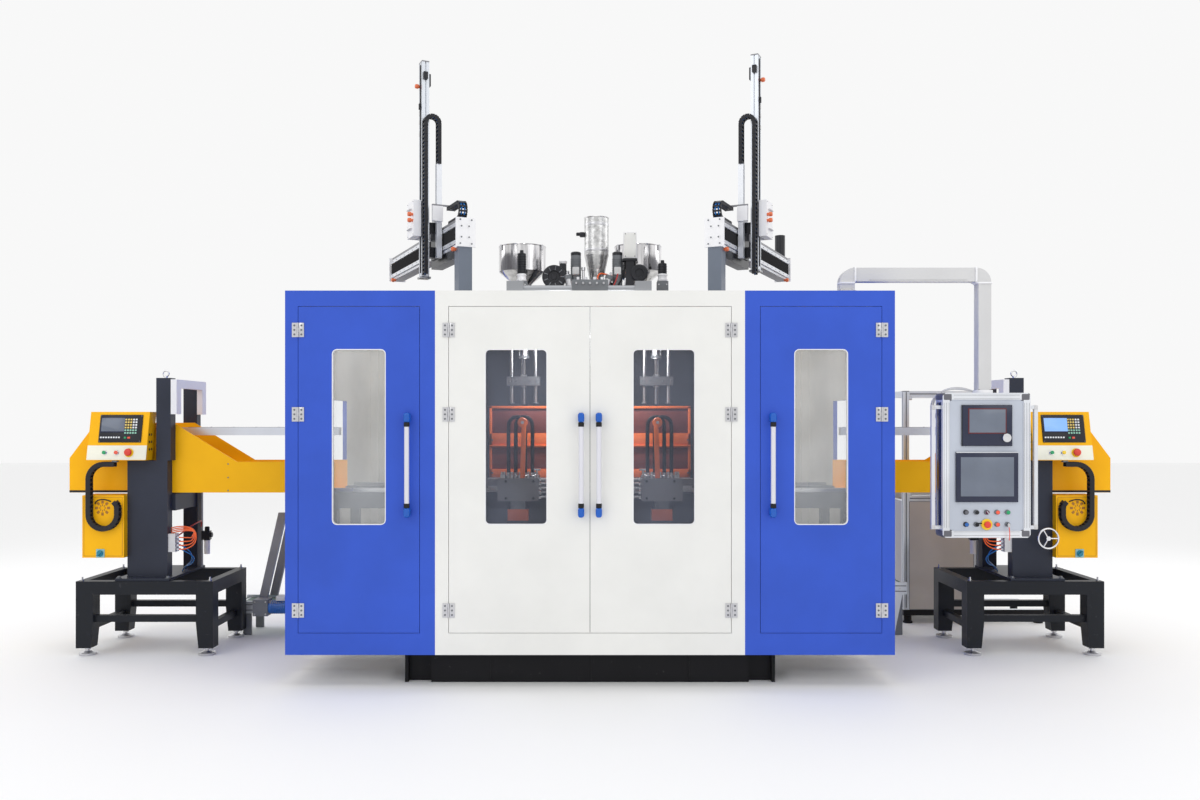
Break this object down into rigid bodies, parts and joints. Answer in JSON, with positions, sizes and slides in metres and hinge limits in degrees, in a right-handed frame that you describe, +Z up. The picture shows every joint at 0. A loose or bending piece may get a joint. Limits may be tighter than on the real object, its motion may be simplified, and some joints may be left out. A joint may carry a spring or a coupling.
{
  "type": "blow moulding machine",
  "caption": "Enclosed double-station blow moulding line with roof take-out robots, a swinging operator panel, overhead hoppers and free-standing outfeed stations.",
  "frame": {"origin": "middle of the base skid's underside, on the floor", "axes": "+X to the right along the line seen from its doors, +Y to the back, +Z up"},
  "size_m": [7.246, 2.4554, 4.047],
  "materials": {
    "skid_black": "satin black paint",
    "frame_cream": "satin cream paint",
    "bay_blue": "satin blue powder coat",
    "bay_white": "satin warm white powder coat",
    "bright_steel": "brushed",
    "polished_steel": "polished stainless",
    "slate": "satin slate paint",
    "platen_orange": "satin orange paint",
    "mould_steel": "machined",
    "clear_pane": "clear",
    "tinted_pane": "tinted",
    "station_yellow": "satin yellow powder coat",
    "anodised": "satin anodised",
    "light_grey": "satin grey paint",
    "chain_black": "matte",
    "control_black": "semi gloss",
    "stop_red": "gloss",
    "machinery_grey": "satin grey paint"
  },
  "bodies": {
    "machine": {"base_skid": "skid_black", "machine_frame": "frame_cream", "blue_bay_panels": "bay_blue", "centre_bay_panels": "bay_white", "door_hinge_frame_leaves": "bright_steel", "clamp_guideways": "slate", "die_head": "mould_steel", "extruder_barrels": "mould_steel", "extruder_drives": "machinery_grey", "hoppers": "polished_steel", "robot_gantries": "slate", "station_tables": "slate", "station_columns": "slate", "station_cabinets": "station_yellow", "station_conduits": "chain_black", "station_air_units": "machinery_grey", "floor_conveyors": "machinery_grey", "feeder_tower": "anodised"},
    "left_blue_door_set": {"left_blue_door": "bay_blue", "left_blue_window": "clear_pane", "left_blue_door_fittings": "anodised"},
    "left_white_door_set": {"left_white_door": "bay_white", "left_white_window": "tinted_pane", "left_white_door_fittings": "anodised"},
    "right_blue_door_set": {"right_blue_door": "bay_blue", "right_blue_window": "clear_pane", "right_blue_door_fittings": "anodised"},
    "right_white_door_set": {"right_white_door": "bay_white", "right_white_window": "tinted_pane", "right_white_door_fittings": "anodised"},
    "left_shuttle": {"left_carriage": "mould_steel"},
    "left_front_clamp": {"left_front_platen": "platen_orange", "left_front_mould": "mould_steel"},
    "left_rear_clamp": {"left_rear_platen": "platen_orange", "left_rear_mould": "mould_steel"},
    "left_blow_unit": {"left_blow_pin": "bright_steel"},
    "right_shuttle": {"right_carriage": "mould_steel"},
    "right_front_clamp": {"right_front_platen": "platen_orange", "right_front_mould": "mould_steel"},
    "right_rear_clamp": {"right_rear_platen": "platen_orange", "right_rear_mould": "mould_steel"},
    "right_blow_unit": {"right_blow_pin": "bright_steel"},
    "left_extruder_screw": {"left_screw": "bright_steel"},
    "centre_extruder_screw": {"centre_screw": "bright_steel"},
    "right_extruder_screw": {"right_screw": "bright_steel"},
    "left_robot_slide": {"left_robot_carriage": "anodised", "left_robot_chain": "chain_black"},
    "left_robot_lift": {"left_robot_arm": "anodised"},
    "right_robot_slide": {"right_robot_carriage": "anodised", "right_robot_chain": "chain_black"},
    "right_robot_lift": {"right_robot_arm": "anodised"},
    "panel_swing_arm": {"panel_arm": "light_grey"},
    "operator_panel": {"panel_box": "anodised", "panel_controls": "control_black"},
    "stop_button": {"panel_stop_button": "stop_red"},
    "left_outfeed_head": {"left_station_head": "station_yellow", "left_control_box": "station_yellow"},
    "right_outfeed_head": {"right_station_head": "station_yellow", "right_control_box": "station_yellow"},
    "lift_handwheel": {"handwheel": "polished_steel"}
  },
  "joints": [
    {"name": "left_blue_door_swing", "type": "hinge", "parent": "machine", "child": "left_blue_door_set", "pos_m": [-1.7515, -1.156, 1.3], "axis": [0, 0, -1], "range_deg": [0, 110]},
    {"name": "left_white_door_swing", "type": "hinge", "parent": "machine", "child": "left_white_door_set", "pos_m": [-0.8485, -1.156, 1.3], "axis": [0, 0, -1], "range_deg": [0, 110]},
    {"name": "right_blue_door_swing", "type": "hinge", "parent": "machine", "child": "right_blue_door_set", "pos_m": [1.7515, -1.156, 1.3], "axis": [0, 0, 1], "range_deg": [0, 110]},
    {"name": "right_white_door_swing", "type": "hinge", "parent": "machine", "child": "right_white_door_set", "pos_m": [0.8485, -1.156, 1.3], "axis": [0, 0, 1], "range_deg": [0, 110]},
    {"name": "left_carriage_shift", "type": "slide", "parent": "machine", "child": "left_shuttle", "axis": [1, 0, 0], "range_m": [0, 0.444]},
    {"name": "left_front_platen_open", "type": "slide", "parent": "left_shuttle", "child": "left_front_clamp", "axis": [0, -1, 0], "range_m": [0, 0.18]},
    {"name": "left_rear_platen_open", "type": "slide", "parent": "left_shuttle", "child": "left_rear_clamp", "axis": [0, 1, 0], "range_m": [0, 0.18]},
    {"name": "left_blow_pin_lower", "type": "slide", "parent": "machine", "child": "left_blow_unit", "axis": [0, 0, 1], "range_m": [-0.11, 0]},
    {"name": "right_carriage_shift", "type": "slide", "parent": "machine", "child": "right_shuttle", "axis": [1, 0, 0], "range_m": [-0.444, 0]},
    {"name": "right_front_platen_open", "type": "slide", "parent": "right_shuttle", "child": "right_front_clamp", "axis": [0, -1, 0], "range_m": [0, 0.18]},
    {"name": "right_rear_platen_open", "type": "slide", "parent": "right_shuttle", "child": "right_rear_clamp", "axis": [0, 1, 0], "range_m": [0, 0.18]},
    {"name": "right_blow_pin_lower", "type": "slide", "parent": "machine", "child": "right_blow_unit", "axis": [0, 0, 1], "range_m": [-0.11, 0]},
    {"name": "left_screw_turn", "type": "hinge", "parent": "machine", "child": "left_extruder_screw", "pos_m": [-0.5, 0, 2.47], "axis": [0, 1, 0], "continuous": true},
    {"name": "centre_screw_turn", "type": "hinge", "parent": "machine", "child": "centre_extruder_screw", "pos_m": [0.048, 0, 2.47], "axis": [0, 1, 0], "continuous": true},
    {"name": "right_screw_turn", "type": "hinge", "parent": "machine", "child": "right_extruder_screw", "pos_m": [0.355, 0, 2.47], "axis": [0, 1, 0], "continuous": true},
    {"name": "left_robot_travel", "type": "slide", "parent": "machine", "child": "left_robot_slide", "axis": [-0.4195, 0.9078, 0], "range_m": [0, 1.2]},
    {"name": "left_robot_arm_lower", "type": "slide", "parent": "left_robot_slide", "child": "left_robot_lift", "axis": [0, 0, 1], "range_m": [-0.6, 0], "deforming": ["left_robot_chain"]},
    {"name": "right_robot_travel", "type": "slide", "parent": "machine", "child": "right_robot_slide", "axis": [0.4195, 0.9078, 0], "range_m": [0, 1.2]},
    {"name": "right_robot_arm_lower", "type": "slide", "parent": "right_robot_slide", "child": "right_robot_lift", "axis": [0, 0, 1], "range_m": [-0.6, 0], "deforming": ["right_robot_chain"]},
    {"name": "panel_arm_swing", "type": "hinge", "parent": "machine", "child": "panel_swing_arm", "pos_m": [1.57, -1.017, 2.39], "axis": [0, 0, 1], "range_deg": [-95, 10]},
    {"name": "panel_turn", "type": "hinge", "parent": "panel_swing_arm", "child": "operator_panel", "pos_m": [2.408, -1.017, 1.783], "axis": [0, 0, 1], "range_deg": [-90, 90]},
    {"name": "stop_button_press", "type": "slide", "parent": "operator_panel", "child": "stop_button", "axis": [0, 1, 0], "range_m": [0, 0.005], "stiffness_N_per_m": 900},
    {"name": "left_head_lift", "type": "slide", "parent": "machine", "child": "left_outfeed_head", "axis": [0, 0, 1], "range_m": [0, 0.12], "deforming": ["station_conduits"]},
    {"name": "right_head_lift", "type": "slide", "parent": "machine", "child": "right_outfeed_head", "axis": [0, 0, 1], "range_m": [0, 0.12], "deforming": ["station_conduits"]},
    {"name": "handwheel_turn", "type": "hinge", "parent": "machine", "child": "lift_handwheel", "pos_m": [3.122, -0.339, 0.793], "axis": [0, -1, 0], "range_deg": [0, 1080]}
  ],
  "couplings": [
    {"joint": "left_rear_platen_open", "follows": "left_front_platen_open", "ratio": 1},
    {"joint": "right_rear_platen_open", "follows": "right_front_platen_open", "ratio": 1},
    {"joint": "handwheel_turn", "follows": "right_head_lift", "rad_per_m": 157.08}
  ]
}
